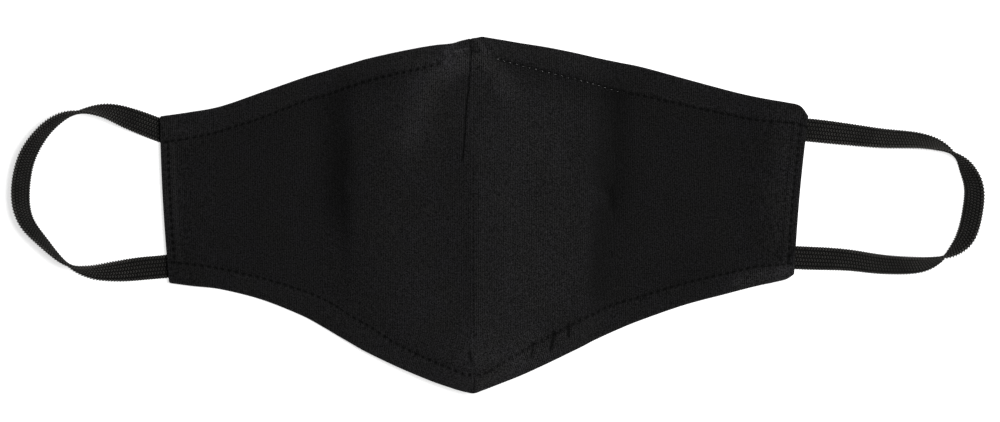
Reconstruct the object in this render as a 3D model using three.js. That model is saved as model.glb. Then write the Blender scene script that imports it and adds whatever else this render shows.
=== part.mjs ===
// A reusable cloth face mask, lying on a table with its outer face up.
// Units are millimetres and +Z is up. The cloth panel is one sewn piece: a dart at the nose and a
// short dart at the chin shape it into a cup, its edges are turned in and stitched as hems, and a
// flat knitted elastic ear loop is sewn under each side hem.

import * as THREE from 'three';

// Cloth: two layers of jersey, doubled again where the edge is turned in.
const CLOTH_THICKNESS = 1.6;
const HEM_THICKNESS = 2.4;
const HEM_WIDTH = 9.2;
const SIDE_HEM_WIDTH = 4.5;
const EDGE_ROUNDING = 0.8;

// Elastic: a flat knitted tape.
const ELASTIC_WIDTH = 9.4;
const ELASTIC_THICKNESS = 1.1;
const ELASTIC_EDGE_ROUNDING = 0.35;

// Mesh steps.
const STEPS_PER_SECTION = 3;
const STEPS_ACROSS_CLOTH = 20;
const EDGE_CROWDING = 0.55;
const STEPS_PER_STATION = 3;

// The cloth's inner face is described by sections that run from the bottom edge to the top edge.
// The first row is the centre line from chin to nose and the last is the side edge.
// topZ and bottomZ are the heights of the two edges, crownZ is the height halfway between them,
// and bow moves the middle of the section sideways. The wings lie on the table at height 0, and
// the side hems lie over the ends of the elastic.
const SECTION_COLUMNS = ['topX', 'topY', 'bottomX', 'bottomY', 'topZ', 'bottomZ', 'crownZ', 'bow'];

const LEFT_SECTIONS = [
  [0.0, 67.6, 0.0, -68.4, 7.8, 6.8, 24.2, 0.0],
  [-13.0, 65.1, -13.0, -64.8, 6.4, 5.4, 20.2, 0.0],
  [-28.0, 62.6, -28.0, -59.2, 4.2, 3.6, 14.9, 0.0],
  [-40.0, 59.9, -40.0, -53.1, 2.2, 2.0, 11.4, 0.0],
  [-46.0, 58.5, -46.0, -49.9, 1.3, 1.2, 8.8, 0.0],
  [-51.0, 57.3, -51.5, -47.0, 0.7, 0.7, 3.2, 0.0],
  [-57.0, 55.7, -58.0, -43.3, 0.2, 0.2, 0.4, 0.0],
  [-66.0, 53.0, -68.0, -38.0, 0.0, 0.0, 0.0, 0.0],
  [-82.0, 47.3, -83.0, -32.1, 0.0, 0.0, 0.0, 0.0],
  [-98.0, 41.8, -98.0, -28.5, 0.0, 0.0, 0.0, 0.0],
  [-110.5, 39.4, -109.0, -27.2, 1.4, 1.4, 1.4, -0.2],
  [-121.2, 37.7, -117.8, -25.9, 1.4, 1.4, 1.4, -0.7],
];

const RIGHT_SECTIONS = [
  [0.0, 67.6, 0.0, -68.4, 7.8, 6.8, 24.2, 0.0],
  [11.0, 67.1, 11.0, -64.6, 6.6, 5.6, 21.3, 0.0],
  [26.0, 64.8, 26.0, -58.1, 4.4, 3.7, 16.4, 0.0],
  [39.0, 62.2, 37.5, -52.5, 2.2, 2.0, 12.7, 0.0],
  [45.0, 61.0, 42.5, -50.1, 1.4, 1.3, 10.6, 0.0],
  [50.5, 60.0, 47.5, -47.8, 0.8, 0.8, 4.6, 0.0],
  [56.5, 58.9, 54.0, -45.0, 0.2, 0.2, 0.8, 0.0],
  [66.0, 57.0, 64.0, -41.0, 0.0, 0.0, 0.0, 0.0],
  [84.0, 51.9, 82.0, -34.8, 0.0, 0.0, 0.0, 0.0],
  [102.0, 47.0, 99.0, -29.9, 0.0, 0.0, 0.0, 0.0],
  [114.0, 44.6, 111.5, -26.9, 1.4, 1.4, 1.4, -0.2],
  [125.0, 42.9, 120.5, -24.9, 1.4, 1.4, 1.4, -0.5],
  [129.9, 38.4, 124.5, -22.8, 1.4, 1.4, 1.4, -0.6],
];

// Soft folds and dents in the cup, each a rounded ridge between two points.
// A negative height is a dent.
const FOLD_COLUMNS = ['fromX', 'fromY', 'toX', 'toY', 'width', 'height'];

const FOLDS = [
  [-15.0, 55.0, -29.0, 20.0, 5.0, 1.3],
  [8.0, 55.0, 16.0, 38.0, 4.0, 0.9],
  [0.5, 24.0, 0.5, -48.0, 3.0, 0.7],
  [49.0, 9.0, 53.0, 1.0, 4.0, -1.2],
  [31.0, -44.0, 28.0, -52.0, 3.0, -0.7],
];

// The centre line of each elastic, from its upper sewn end round to its lower one.
// tilt is 0 where the tape lies flat and 90 where it stands on its outer edge.
const ROUTE_COLUMNS = ['x', 'y', 'tilt'];

const LEFT_ROUTE = [
  [-112.0, 29.4, 0],
  [-120.5, 32.4, 0],
  [-132.6, 37.0, 20],
  [-142.9, 40.2, 52],
  [-152.3, 40.0, 84],
  [-160.4, 37.6, 108],
  [-167.9, 31.5, 122],
  [-174.1, 21.4, 134],
  [-176.3, 8.5, 138],
  [-174.3, -1.9, 128],
  [-167.0, -10.8, 112],
  [-158.1, -19.0, 90],
  [-149.5, -21.9, 60],
  [-139.6, -21.9, 32],
  [-128.0, -20.8, 4],
  [-120.0, -20.1, 0],
  [-111.0, -19.0, 0],
];

const RIGHT_ROUTE = [
  [121.0, 33.4, 0],
  [129.5, 33.2, 0],
  [145.1, 31.5, 20],
  [159.0, 29.9, 34],
  [173.2, 28.9, 48],
  [181.5, 26.7, 62],
  [187.5, 23.1, 92],
  [191.7, 18.2, 126],
  [194.9, 11.0, 142],
  [194.6, 2.0, 148],
  [191.9, -8.0, 142],
  [186.6, -13.9, 112],
  [181.0, -17.3, 74],
  [173.2, -19.4, 48],
  [160.0, -19.3, 36],
  [145.1, -17.5, 24],
  [129.5, -16.8, 4],
  [119.5, -16.4, 0],
];

function tableRows(columns, rows) {
  return rows.map((row) => Object.fromEntries(columns.map((name, i) => [name, row[i]])));
}

// A smooth value between four neighbouring rows, with t running from the second to the third.
function smoothBetween(a, b, c, d, t) {
  const bend = (2 * a - 5 * b + 4 * c - d) * t * t;
  const twist = (3 * b - a - 3 * c + d) * t * t * t;
  return 0.5 * (2 * b + (c - a) * t + bend + twist);
}

// All columns of a table at a place between its rows. The ends carry straight on.
function readTable(rows, place) {
  const last = rows.length - 1;
  const index = Math.min(Math.floor(place), last - 1);
  const t = place - index;
  const b = rows[index];
  const c = rows[index + 1];
  const values = {};
  for (const name of Object.keys(b)) {
    const before = index > 0 ? rows[index - 1][name] : 2 * b[name] - c[name];
    const after = index + 2 <= last ? rows[index + 2][name] : 2 * c[name] - b[name];
    values[name] = smoothBetween(before, b[name], c[name], after, t);
  }
  return values;
}

const folds = tableRows(FOLD_COLUMNS, FOLDS);

// The height that the folds add at one place on the cloth.
function foldHeight(x, y) {
  let height = 0;
  for (const fold of folds) {
    const lengthX = fold.toX - fold.fromX;
    const lengthY = fold.toY - fold.fromY;
    const along = ((x - fold.fromX) * lengthX + (y - fold.fromY) * lengthY)
      / (lengthX * lengthX + lengthY * lengthY);
    const nearest = THREE.MathUtils.clamp(along, 0, 1);
    const distance = Math.hypot(x - fold.fromX - nearest * lengthX, y - fold.fromY - nearest * lengthY);
    height += fold.height * Math.exp(-((distance / fold.width) ** 2));
  }
  return height;
}

// A point of the inner face: place counts sections from the centre line, v runs from the
// bottom edge (0) to the top edge (1).
function innerPoint(sections, place, v) {
  const section = readTable(sections, place);
  const rise = Math.max(Math.sin(Math.PI * v), 0);
  const x = THREE.MathUtils.lerp(section.bottomX, section.topX, v) + section.bow * rise;
  const y = THREE.MathUtils.lerp(section.bottomY, section.topY, v);
  const edge = THREE.MathUtils.lerp(section.bottomZ, section.topZ, v);
  const middle = (section.bottomZ + section.topZ) / 2;
  const crown = (section.crownZ - middle) * rise;
  const height = edge + crown + foldHeight(x, y) * rise;
  return new THREE.Vector3(x, y, Math.max(height, 0));
}

// The cloth's outward direction, from points a small step away on each side. On the centre line,
// where the two halves meet in a ridge, it has no sideways lean.
function outwardNormal(sections, place, v) {
  const step = 0.02;
  const last = sections.length - 1;
  const alongEdge = innerPoint(sections, Math.min(place + step, last), v)
    .sub(innerPoint(sections, Math.max(place - step, 0), v));
  const upwards = innerPoint(sections, place, Math.min(v + step, 1))
    .sub(innerPoint(sections, place, Math.max(v - step, 0)));
  const normal = alongEdge.cross(upwards);
  if (place === 0) {
    normal.setX(0);
  }
  return normal.z < 0 ? normal.negate().normalize() : normal.normalize();
}

// The cloth is thicker inside the turned hems, and steps down softly at their inner edge.
function wallThickness(point, sections, place, v) {
  const last = sections.length - 1;
  const bottom = innerPoint(sections, place, 0);
  const top = innerPoint(sections, place, 1);
  const side = innerPoint(sections, last, v);
  const fromEnds = Math.min(point.distanceTo(bottom), point.distanceTo(top)) / HEM_WIDTH;
  const fromSide = Math.abs(side.x - point.x) / SIDE_HEM_WIDTH;
  const inHem = 1 - THREE.MathUtils.smoothstep(Math.min(fromEnds, fromSide), 0.8, 1.2);
  return THREE.MathUtils.lerp(CLOTH_THICKNESS, HEM_THICKNESS, inHem);
}

// One column of the cloth: the outer points and the inner points, from bottom to top.
function clothColumn(sections, place) {
  const outer = [];
  const inner = [];
  for (let i = 0; i <= STEPS_ACROSS_CLOTH; i += 1) {
    const t = i / STEPS_ACROSS_CLOTH;
    const v = t - EDGE_CROWDING * Math.sin(2 * Math.PI * t) / (2 * Math.PI);
    const point = innerPoint(sections, place, v);
    const normal = outwardNormal(sections, place, v);
    inner.push(point);
    outer.push(point.clone().addScaledVector(normal, wallThickness(point, sections, place, v)));
  }
  return { outer, inner };
}

// The rounded rim lies halfway through the wall, pushed out beyond the last points.
function rimPoint(outer, inner, nextOuter) {
  const middle = outer.clone().lerp(inner, 0.5);
  const outwards = outer.clone().sub(nextOuter).setZ(0).normalize();
  return middle.addScaledVector(outwards, EDGE_ROUNDING);
}

function closedGeometry(points, triangles) {
  const geometry = new THREE.BufferGeometry();
  const positions = points.flatMap((point) => [point.x, point.y, point.z]);
  geometry.setAttribute('position', new THREE.Float32BufferAttribute(positions, 3));
  geometry.setIndex(triangles);
  geometry.computeVertexNormals();
  return geometry;
}

function maskShellGeometry() {
  const left = tableRows(SECTION_COLUMNS, LEFT_SECTIONS);
  const right = tableRows(SECTION_COLUMNS, RIGHT_SECTIONS);
  const columns = [];
  for (let i = (left.length - 1) * STEPS_PER_SECTION; i > 0; i -= 1) {
    columns.push(clothColumn(left, i / STEPS_PER_SECTION));
  }
  for (let i = 0; i <= (right.length - 1) * STEPS_PER_SECTION; i += 1) {
    columns.push(clothColumn(right, i / STEPS_PER_SECTION));
  }

  const lastColumn = columns.length - 1;
  const lastRow = STEPS_ACROSS_CLOTH;
  const rowCount = lastRow + 1;
  const points = [];
  columns.forEach((column) => points.push(...column.outer));
  columns.forEach((column) => points.push(...column.inner));
  const innerStart = columns.length * rowCount;
  const outerIndex = (column, row) => column * rowCount + row;

  const triangles = [];
  const addQuad = (a, b, c, d) => triangles.push(a, b, c, a, c, d);
  for (let column = 0; column < lastColumn; column += 1) {
    for (let row = 0; row < lastRow; row += 1) {
      const a = outerIndex(column, row);
      const b = outerIndex(column + 1, row);
      const c = outerIndex(column + 1, row + 1);
      const d = outerIndex(column, row + 1);
      addQuad(a, b, c, d);
      addQuad(innerStart + a, innerStart + d, innerStart + c, innerStart + b);
    }
  }

  // The rim goes once round the outline, against the clock seen from below.
  const outline = [];
  for (let column = 0; column < lastColumn; column += 1) {
    outline.push([column, 0, column, 1]);
  }
  for (let row = 0; row < lastRow; row += 1) {
    outline.push([lastColumn, row, lastColumn - 1, row]);
  }
  for (let column = lastColumn; column > 0; column -= 1) {
    outline.push([column, lastRow, column, lastRow - 1]);
  }
  for (let row = lastRow; row > 0; row -= 1) {
    outline.push([0, row, 1, row]);
  }
  const rimStart = points.length;
  outline.forEach(([column, row, nextColumn, nextRow]) => {
    const { outer, inner } = columns[column];
    points.push(rimPoint(outer[row], inner[row], columns[nextColumn].outer[nextRow]));
  });
  outline.forEach(([column, row], i) => {
    const j = (i + 1) % outline.length;
    const here = outerIndex(column, row);
    const next = outerIndex(outline[j][0], outline[j][1]);
    addQuad(here, rimStart + i, rimStart + j, next);
    addQuad(innerStart + here, innerStart + next, rimStart + j, rimStart + i);
  });
  return closedGeometry(points, triangles);
}

// The tape's section: a flat rectangle with its four corners taken off.
function tapeSection() {
  const a = ELASTIC_WIDTH / 2;
  const b = ELASTIC_THICKNESS / 2;
  const c = ELASTIC_EDGE_ROUNDING;
  return [
    [a, c - b], [a, b - c], [a - c, b], [c - a, b],
    [-a, b - c], [-a, c - b], [c - a, -b], [a - c, -b],
  ];
}

// One elastic, resting on its lower edge all along. insideTurn is +1 where the loop's inside is
// on the left of its route and -1 where it is on the right.
function earLoopGeometry(routeTable, insideTurn) {
  const route = tableRows(ROUTE_COLUMNS, routeTable);
  const section = tapeSection();
  const last = (route.length - 1) * STEPS_PER_STATION;
  const sides = section.length;
  const step = 0.01;
  const points = [];
  for (let i = 0; i <= last; i += 1) {
    const place = i / STEPS_PER_STATION;
    const here = readTable(route, place);
    const ahead = readTable(route, Math.min(place + step, route.length - 1));
    const behind = readTable(route, Math.max(place - step, 0));
    const along = new THREE.Vector2(ahead.x - behind.x, ahead.y - behind.y).normalize();
    const inwards = new THREE.Vector3(-along.y * insideTurn, along.x * insideTurn, 0);
    const tilt = THREE.MathUtils.degToRad(Math.max(here.tilt, 0));
    const across = inwards.clone().multiplyScalar(Math.cos(tilt)).setZ(Math.sin(tilt));
    const normal = inwards.clone().multiplyScalar(-Math.sin(tilt)).setZ(Math.cos(tilt));
    const height = Math.sin(tilt) * ELASTIC_WIDTH / 2 + Math.abs(Math.cos(tilt)) * ELASTIC_THICKNESS / 2;
    const centre = new THREE.Vector3(here.x, here.y, height);
    for (const [width, thickness] of section) {
      points.push(centre.clone().addScaledVector(across, width).addScaledVector(normal, thickness));
    }
  }

  const triangles = [];
  const addTriangle = (a, b, c) => triangles.push(...(insideTurn > 0 ? [a, b, c] : [a, c, b]));
  for (let i = 0; i < last; i += 1) {
    for (let side = 0; side < sides; side += 1) {
      const a = i * sides + side;
      const b = i * sides + (side + 1) % sides;
      addTriangle(a, b, b + sides);
      addTriangle(a, b + sides, a + sides);
    }
  }
  for (let side = 1; side < sides - 1; side += 1) {
    addTriangle(0, side + 1, side);
    addTriangle(last * sides, last * sides + side, last * sides + side + 1);
  }
  return closedGeometry(points, triangles);
}

function namedMesh(name, geometry, material) {
  const mesh = new THREE.Mesh(geometry, material);
  mesh.name = name;
  return mesh;
}

const cottonJersey = new THREE.MeshStandardMaterial({ color: 0x1c1b1d, roughness: 0.95, metalness: 0 });
const leftElastic = new THREE.MeshStandardMaterial({ color: 0x1e1d1c, roughness: 0.85, metalness: 0 });
const rightElastic = new THREE.MeshStandardMaterial({ color: 0x1e1d1c, roughness: 0.85, metalness: 0 });

const mask = new THREE.Group();
mask.add(namedMesh('mask_shell', maskShellGeometry(), cottonJersey));
mask.add(namedMesh('ear_loop_left', earLoopGeometry(LEFT_ROUTE, 1), leftElastic));
mask.add(namedMesh('ear_loop_right', earLoopGeometry(RIGHT_ROUTE, -1), rightElastic));

// The origin is on the table, under the middle of the whole mask.
const bounds = new THREE.Box3().setFromObject(mask);
const middle = bounds.getCenter(new THREE.Vector3());
mask.position.set(-middle.x, -middle.y, -bounds.min.z);

export default mask;
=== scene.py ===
# %% [markdown]
# # A black cloth face mask, lying face up
# The real mask is one shaped panel of cotton jersey with a dart at the nose and a short one at the
# chin, turned hems held by a row of topstitching, and two flat knitted elastics for the ears.
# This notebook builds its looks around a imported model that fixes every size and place.
# The cloth is a fine mesh worked out from a few sections, because its hems, darts and dimples are
# real shapes. What repeats, the stitches and the courses of the elastic, is made by Geometry Nodes.

# %% The frame and the box it fills
import math

import bpy
import numpy as np
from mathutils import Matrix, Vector


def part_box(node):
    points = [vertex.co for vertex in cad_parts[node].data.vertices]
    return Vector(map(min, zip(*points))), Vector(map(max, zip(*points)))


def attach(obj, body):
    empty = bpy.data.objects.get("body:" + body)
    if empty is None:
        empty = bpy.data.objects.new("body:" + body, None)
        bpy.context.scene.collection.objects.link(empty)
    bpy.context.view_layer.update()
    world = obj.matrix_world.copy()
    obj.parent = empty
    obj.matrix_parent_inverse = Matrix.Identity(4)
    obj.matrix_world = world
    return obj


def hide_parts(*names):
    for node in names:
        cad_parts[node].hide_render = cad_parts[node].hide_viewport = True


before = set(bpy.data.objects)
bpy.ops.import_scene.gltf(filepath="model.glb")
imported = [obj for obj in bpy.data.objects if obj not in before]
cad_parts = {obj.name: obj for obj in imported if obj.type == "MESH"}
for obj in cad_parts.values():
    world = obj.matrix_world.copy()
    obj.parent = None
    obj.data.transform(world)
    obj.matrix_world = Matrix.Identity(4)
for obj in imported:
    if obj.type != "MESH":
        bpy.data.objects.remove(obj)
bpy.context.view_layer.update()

# %% [markdown]
# ## Units and small helpers
# Sewing sizes are written in millimetres and become metres when a mesh is made. Colours are the
# sRGB hex values a maker would pick, and one function turns them into the linear values that the
# renderer works in.

# %% Units, colour and a helper for nodes
MM = 0.001


def linear(hex_colour):
    """An sRGB hex colour as linear red, green, blue and alpha."""
    channels = [int(hex_colour[i:i + 2], 16) / 255 for i in (1, 3, 5)]
    return [c / 12.92 if c <= 0.04045 else ((c + 0.055) / 1.055) ** 2.4 for c in channels] + [1.0]


def add(tree, kind, inputs=None, **settings):
    """Adds a node to a tree, with its settings, and its inputs set or linked."""
    node = tree.nodes.new(kind)
    for name, value in settings.items():
        setattr(node, name, value)
    for socket, value in (inputs or {}).items():
        if isinstance(value, bpy.types.NodeSocket):
            tree.links.new(value, node.inputs[socket])
        else:
            node.inputs[socket].default_value = value
    return node


def times(tree, first, second):
    """The product of two sockets or numbers."""
    return add(tree, "ShaderNodeMath", {0: first, 1: second}, operation="MULTIPLY").outputs[0]


def mesh_object(name, points_mm, faces, attributes=None):
    """A new object from points in millimetres of the sewing frame, with a vector on each point."""
    mesh = bpy.data.meshes.new(name)
    mesh.from_pydata(((np.asarray(points_mm) + ORIGIN) * MM).tolist(), [], faces)
    for title, vectors in (attributes or {}).items():
        stored = mesh.attributes.new(title, "FLOAT_VECTOR", "POINT")
        stored.data.foreach_set("vector", np.asarray(vectors, np.float32).ravel())
    mesh.shade_smooth()
    thing = bpy.data.objects.new(name, mesh)
    bpy.context.scene.collection.objects.link(thing)
    return thing


# %% [markdown]
# ## Camera
# The mask is looked at from straight above with a long lens, so that its outline is seen almost
# without perspective. The view is 390 mm wide.

# %% Camera
VIEW_WIDTH = 390.0 * MM
CAMERA_HEIGHT = 3.0
camera_data = bpy.data.cameras.new("overhead")
camera_data.sensor_width = 36.0
camera_data.lens = camera_data.sensor_width * CAMERA_HEIGHT / VIEW_WIDTH
camera_data.clip_end = 60.0
camera = bpy.data.objects.new("overhead", camera_data)
camera.location = (0.8 * MM, 1.9 * MM, CAMERA_HEIGHT)
bpy.context.scene.collection.objects.link(camera)
bpy.context.scene.camera = camera
print("lens:", round(camera_data.lens), "mm")

# %% [markdown]
# ## The sections of the cloth
# A pattern cutter describes a shaped panel by sections across it. Each row below is one section,
# from the centre line (the nose and chin darts) out to the side edge: where it meets the top and
# bottom edges, how high the cloth's underside lies at both edges and halfway, how far the section
# bows sideways, and how far the topstitching is from each edge. A smooth curve through the rows
# gives any section between them, which is why so few are needed.

# %% Section tables
SECTION_COLUMNS = ("top_x", "top_y", "bottom_x", "bottom_y", "top_z", "bottom_z", "crown_z", "bow",
                   "top_hem", "bottom_hem")
LEFT_SECTIONS = [
    (0.0, 67.6, 0.0, -68.4, 7.8, 6.8, 24.2, 0.0, 4.8, 6.6),
    (-4.0, 66.8, -4.0, -67.5, 7.5, 6.5, 23.3, 0.0, 5.2, 6.3),
    (-8.0, 65.7, -8.0, -66.3, 7.0, 6.0, 22.0, 0.0, 5.9, 6.9),
    (-16.0, 64.9, -16.0, -63.6, 6.0, 5.0, 19.1, 0.0, 7.5, 7.5),
    (-28.0, 62.8, -28.0, -58.7, 4.2, 3.6, 14.9, 0.0, 8.0, 8.1),
    (-40.0, 60.2, -40.0, -53.1, 2.2, 2.0, 11.4, 0.0, 8.2, 10.0),
    (-46.0, 58.6, -46.0, -49.9, 1.3, 1.2, 8.8, 0.0, 8.5, 10.2),
    (-51.0, 57.4, -51.5, -47.0, 0.7, 0.7, 3.2, 0.0, 8.8, 10.5),
    (-57.0, 55.7, -58.0, -43.3, 0.2, 0.2, 0.4, 0.0, 8.9, 10.2),
    (-66.0, 53.0, -67.0, -38.5, 0.0, 0.0, 0.0, 0.0, 8.7, 9.0),
    (-82.0, 47.4, -82.5, -32.4, 0.0, 0.0, 0.0, 0.0, 9.3, 7.7),
    (-98.0, 41.9, -98.0, -28.5, 0.0, 0.0, 0.0, 0.0, 9.0, 7.3),
    (-110.5, 39.5, -109.0, -27.2, 1.4, 1.4, 1.4, -0.2, 9.6, 7.8),
    (-121.6, 37.9, -118.0, -26.0, 1.4, 1.4, 1.4, -0.6, 9.7, 7.5),
]
RIGHT_SECTIONS = [
    (0.0, 67.6, 0.0, -68.4, 7.8, 6.8, 24.2, 0.0, 4.8, 6.6),
    (4.0, 68.0, 4.0, -66.9, 7.5, 6.5, 23.4, 0.0, 5.8, 5.9),
    (10.0, 67.2, 10.0, -64.6, 6.8, 5.7, 21.6, 0.0, 7.5, 7.1),
    (18.0, 65.9, 18.0, -61.5, 5.6, 4.7, 18.8, 0.0, 8.3, 8.7),
    (28.0, 64.4, 28.0, -57.0, 4.0, 3.4, 15.9, 0.0, 9.2, 9.7),
    (38.0, 62.5, 37.0, -52.7, 2.3, 2.1, 13.0, 0.0, 9.8, 10.1),
    (45.0, 61.0, 42.5, -50.1, 1.4, 1.3, 10.6, 0.0, 10.1, 10.3),
    (50.5, 60.0, 47.5, -47.8, 0.8, 0.8, 4.6, 0.0, 10.4, 10.3),
    (56.5, 58.9, 54.0, -45.0, 0.2, 0.2, 0.8, 0.0, 10.8, 10.1),
    (66.0, 57.0, 64.0, -40.9, 0.0, 0.0, 0.0, 0.0, 10.6, 8.7),
    (84.0, 52.1, 82.0, -34.6, 0.0, 0.0, 0.0, 0.0, 9.7, 8.0),
    (102.0, 47.3, 99.0, -30.1, 0.0, 0.0, 0.0, 0.0, 8.7, 7.4),
    (114.0, 44.7, 111.0, -27.0, 1.4, 1.4, 1.4, -0.1, 8.2, 6.9),
    (121.5, 43.4, 117.5, -25.6, 1.4, 1.4, 1.4, -0.3, 7.2, 6.0),
    (127.0, 42.1, 121.8, -24.5, 1.4, 1.4, 1.4, -0.5, 6.8, 5.2),
    (130.0, 38.4, 124.5, -22.8, 1.4, 1.4, 1.4, -0.6, 4.2, 4.0),
]


def as_table(columns, rows):
    """The rows as one array for each named column."""
    return dict(zip(columns, np.array(rows, float).T))


def read_table(table, place):
    """Every column at places between the rows, on a smooth curve that runs on at its ends."""
    last = len(next(iter(table.values()))) - 1
    index = np.clip(np.floor(place).astype(int), 0, last - 1)
    t = place - index
    values = {}
    for name, column in table.items():
        before, after = 2 * column[0] - column[1], 2 * column[-1] - column[-2]
        padded = np.concatenate([[before], column, [after]])
        a, b, c, d = (padded[index + i] for i in range(4))
        bend = (2 * a - 5 * b + 4 * c - d) * t ** 2
        twist = (3 * b - a - 3 * c + d) * t ** 3
        values[name] = 0.5 * (2 * b + (c - a) * t + bend + twist)
    return values


left_table = as_table(SECTION_COLUMNS, LEFT_SECTIONS)
right_table = as_table(SECTION_COLUMNS, RIGHT_SECTIONS)
print("sections:", len(LEFT_SECTIONS), "left,", len(RIGHT_SECTIONS), "right")

# %% [markdown]
# ## The paths of the ear loops
# Each ear loop is a flat tape that twists as it goes round, because it leaves one corner lying flat
# and comes back to the other lying flat, yet stands on its edge in between. A row of its route says
# where the middle of the tape is, how far it is tipped (0 is flat, 90 is on edge), and how much
# more the inner edge is tipped than the outer one, because a soft tape curls where it turns over.
# A course is one row of the tape's knitting. It is about 0.7 mm long on the real elastic. That is
# too fine to show at this distance, so it is drawn coarser, at 1.1 mm, and reads a little bolder.

# %% Ear loop routes
ROUTE_COLUMNS = ("x", "y", "tilt", "curl")
LEFT_ROUTE = [
    (-112.0, 29.4, 0, 0), (-120.5, 32.4, 0, 0), (-132.6, 37.0, 20, 10),
    (-142.9, 40.2, 52, 20), (-152.3, 40.0, 84, 30), (-160.4, 37.6, 108, 30),
    (-167.9, 31.5, 122, 20), (-174.1, 21.4, 134, 10), (-176.3, 8.5, 138, 10),
    (-174.3, -1.9, 128, 10), (-167.0, -10.8, 112, 20), (-158.1, -19.0, 90, 25),
    (-149.5, -21.9, 60, 20), (-139.6, -21.9, 32, 10), (-128.0, -20.8, 4, 0),
    (-120.0, -20.1, 0, 0), (-111.0, -19.0, 0, 0),
]
RIGHT_ROUTE = [
    (121.0, 33.4, 0, 0), (129.5, 33.2, 0, 0), (145.1, 31.5, 20, 0), (159.0, 29.9, 34, 0),
    (173.2, 28.9, 48, 10), (181.5, 26.7, 64, 30), (187.5, 23.1, 92, 40), (191.7, 18.2, 124, 30),
    (194.9, 11.0, 142, 15), (194.6, 2.0, 148, 10), (191.9, -8.0, 142, 15), (186.6, -13.9, 112, 30),
    (181.0, -17.3, 74, 25), (173.2, -19.4, 48, 10), (160.0, -19.3, 36, 0), (145.1, -17.5, 24, 0),
    (129.5, -16.8, 4, 0), (119.5, -16.4, 0, 0),
]
TAPE_WIDTH = 9.4
TAPE_THICKNESS = 1.1
COURSE = 1.1
TAPE_CHECKS = 9


def unit(vectors):
    """Vectors of length 1."""
    return vectors / np.linalg.norm(vectors, axis=-1, keepdims=True)


def tape_path(rows, inside_turn):
    """The tape at each course: its middle in plan, the way inwards, its tilt and its curl."""
    route = as_table(ROUTE_COLUMNS, rows)
    here = read_table(route, np.linspace(0, len(rows) - 1, 6000))
    run = np.concatenate([[0], np.cumsum(np.hypot(np.diff(here["x"]), np.diff(here["y"])))])
    wanted = np.arange(0, run[-1], COURSE)
    x, y, tilt, curl = (np.interp(wanted, run, here[name]) for name in ROUTE_COLUMNS)
    along = unit(np.stack([np.gradient(x), np.gradient(y), 0 * x], axis=-1))
    inwards = np.stack([-along[:, 1], along[:, 0], 0 * x], axis=-1) * inside_turn
    return {"middle": np.stack([x, y, 0 * x], axis=-1), "inwards": inwards, "length": run[-1],
            "tilt": np.radians(np.maximum(tilt, 0)), "curl": np.radians(np.maximum(curl, 0))}


def tape_at(tape, aside):
    """Places that far inwards on the tape, with the ways along, across and out of its face."""
    reach = np.linspace(0, aside, TAPE_CHECKS)
    tilt = tape["tilt"][:, None] + tape["curl"][:, None] * reach / TAPE_WIDTH
    step = reach[1] - reach[0]
    inward_move = (np.cos(tilt[:, 1:]) + np.cos(tilt[:, :-1])).sum(axis=1) / 2 * step
    upward_move = (np.sin(tilt[:, 1:]) + np.sin(tilt[:, :-1])).sum(axis=1) / 2 * step
    up = np.array([0.0, 0.0, 1.0])
    place = tape["middle"] + tape["inwards"] * inward_move[:, None] + up * upward_move[:, None]
    end_tilt = tilt[:, -1:]
    across = tape["inwards"] * np.cos(end_tilt) + up * np.sin(end_tilt)
    face = up * np.cos(end_tilt) - tape["inwards"] * np.sin(end_tilt)
    return {"place": place, "along": np.cross(face, across), "across": across, "face": face}


def settle(tape):
    """Lowers or lifts the tape at each course until it rests on the table."""
    lowest = np.full(len(tape["tilt"]), np.inf)
    for aside in np.linspace(-TAPE_WIDTH / 2, TAPE_WIDTH / 2, TAPE_CHECKS):
        strip = tape_at(tape, aside)
        below = np.abs(strip["face"][:, 2]) * TAPE_THICKNESS / 2
        lowest = np.minimum(lowest, strip["place"][:, 2] - below)
    tape["middle"][:, 2] -= lowest
    return tape


tapes = {"left": settle(tape_path(LEFT_ROUTE, 1)), "right": settle(tape_path(RIGHT_ROUTE, -1))}
for side, tape in tapes.items():
    print(side, "ear loop:", round(float(tape["length"])), "mm of tape")

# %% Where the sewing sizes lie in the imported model
TAPE_EDGES = (-TAPE_WIDTH / 2, TAPE_WIDTH / 2)
outlines = {side: np.concatenate([tape_at(tape, aside)["place"] for aside in TAPE_EDGES])
            for side, tape in tapes.items()}
left_low, left_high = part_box("ear_loop_left")
right_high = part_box("ear_loop_right")[1]
sewn_middle_x = (outlines["left"][:, 0].min() + outlines["right"][:, 0].max()) / 2
sewn_middle_y = (outlines["left"][:, 1].min() + outlines["left"][:, 1].max()) / 2
origin_x = (left_low.x + right_high.x) / 2 / MM - sewn_middle_x
origin_y = (left_low.y + left_high.y) / 2 / MM - sewn_middle_y
ORIGIN = np.array([origin_x, origin_y, 0.0])
print("sewing frame at", ORIGIN.round(2), "mm")

# %% [markdown]
# ## Where the mesh needs its lines
# Small shapes need close lines: the two darts, the row of stitches inside each hem and the side
# hems. Elsewhere the cloth is smooth and the lines spread out. Columns are placed by their distance
# from the centre line, and rows by the share of the hem that they stand at, so that one row lies
# exactly under the needle.

# %% Columns and rows
DART_STEPS = np.arange(0.0, 5.0, 0.25)
PLAIN_STEP = 0.55
SIDE_HEM_ZONE = 5.0
SIDE_STEP = 0.35
MIDDLE_ROWS = 84
HEM_SHARES = np.concatenate([np.linspace(0.0, 0.82, 12), np.linspace(0.88, 1.12, 9),
                             np.linspace(1.2, 1.5, 4)])


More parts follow.
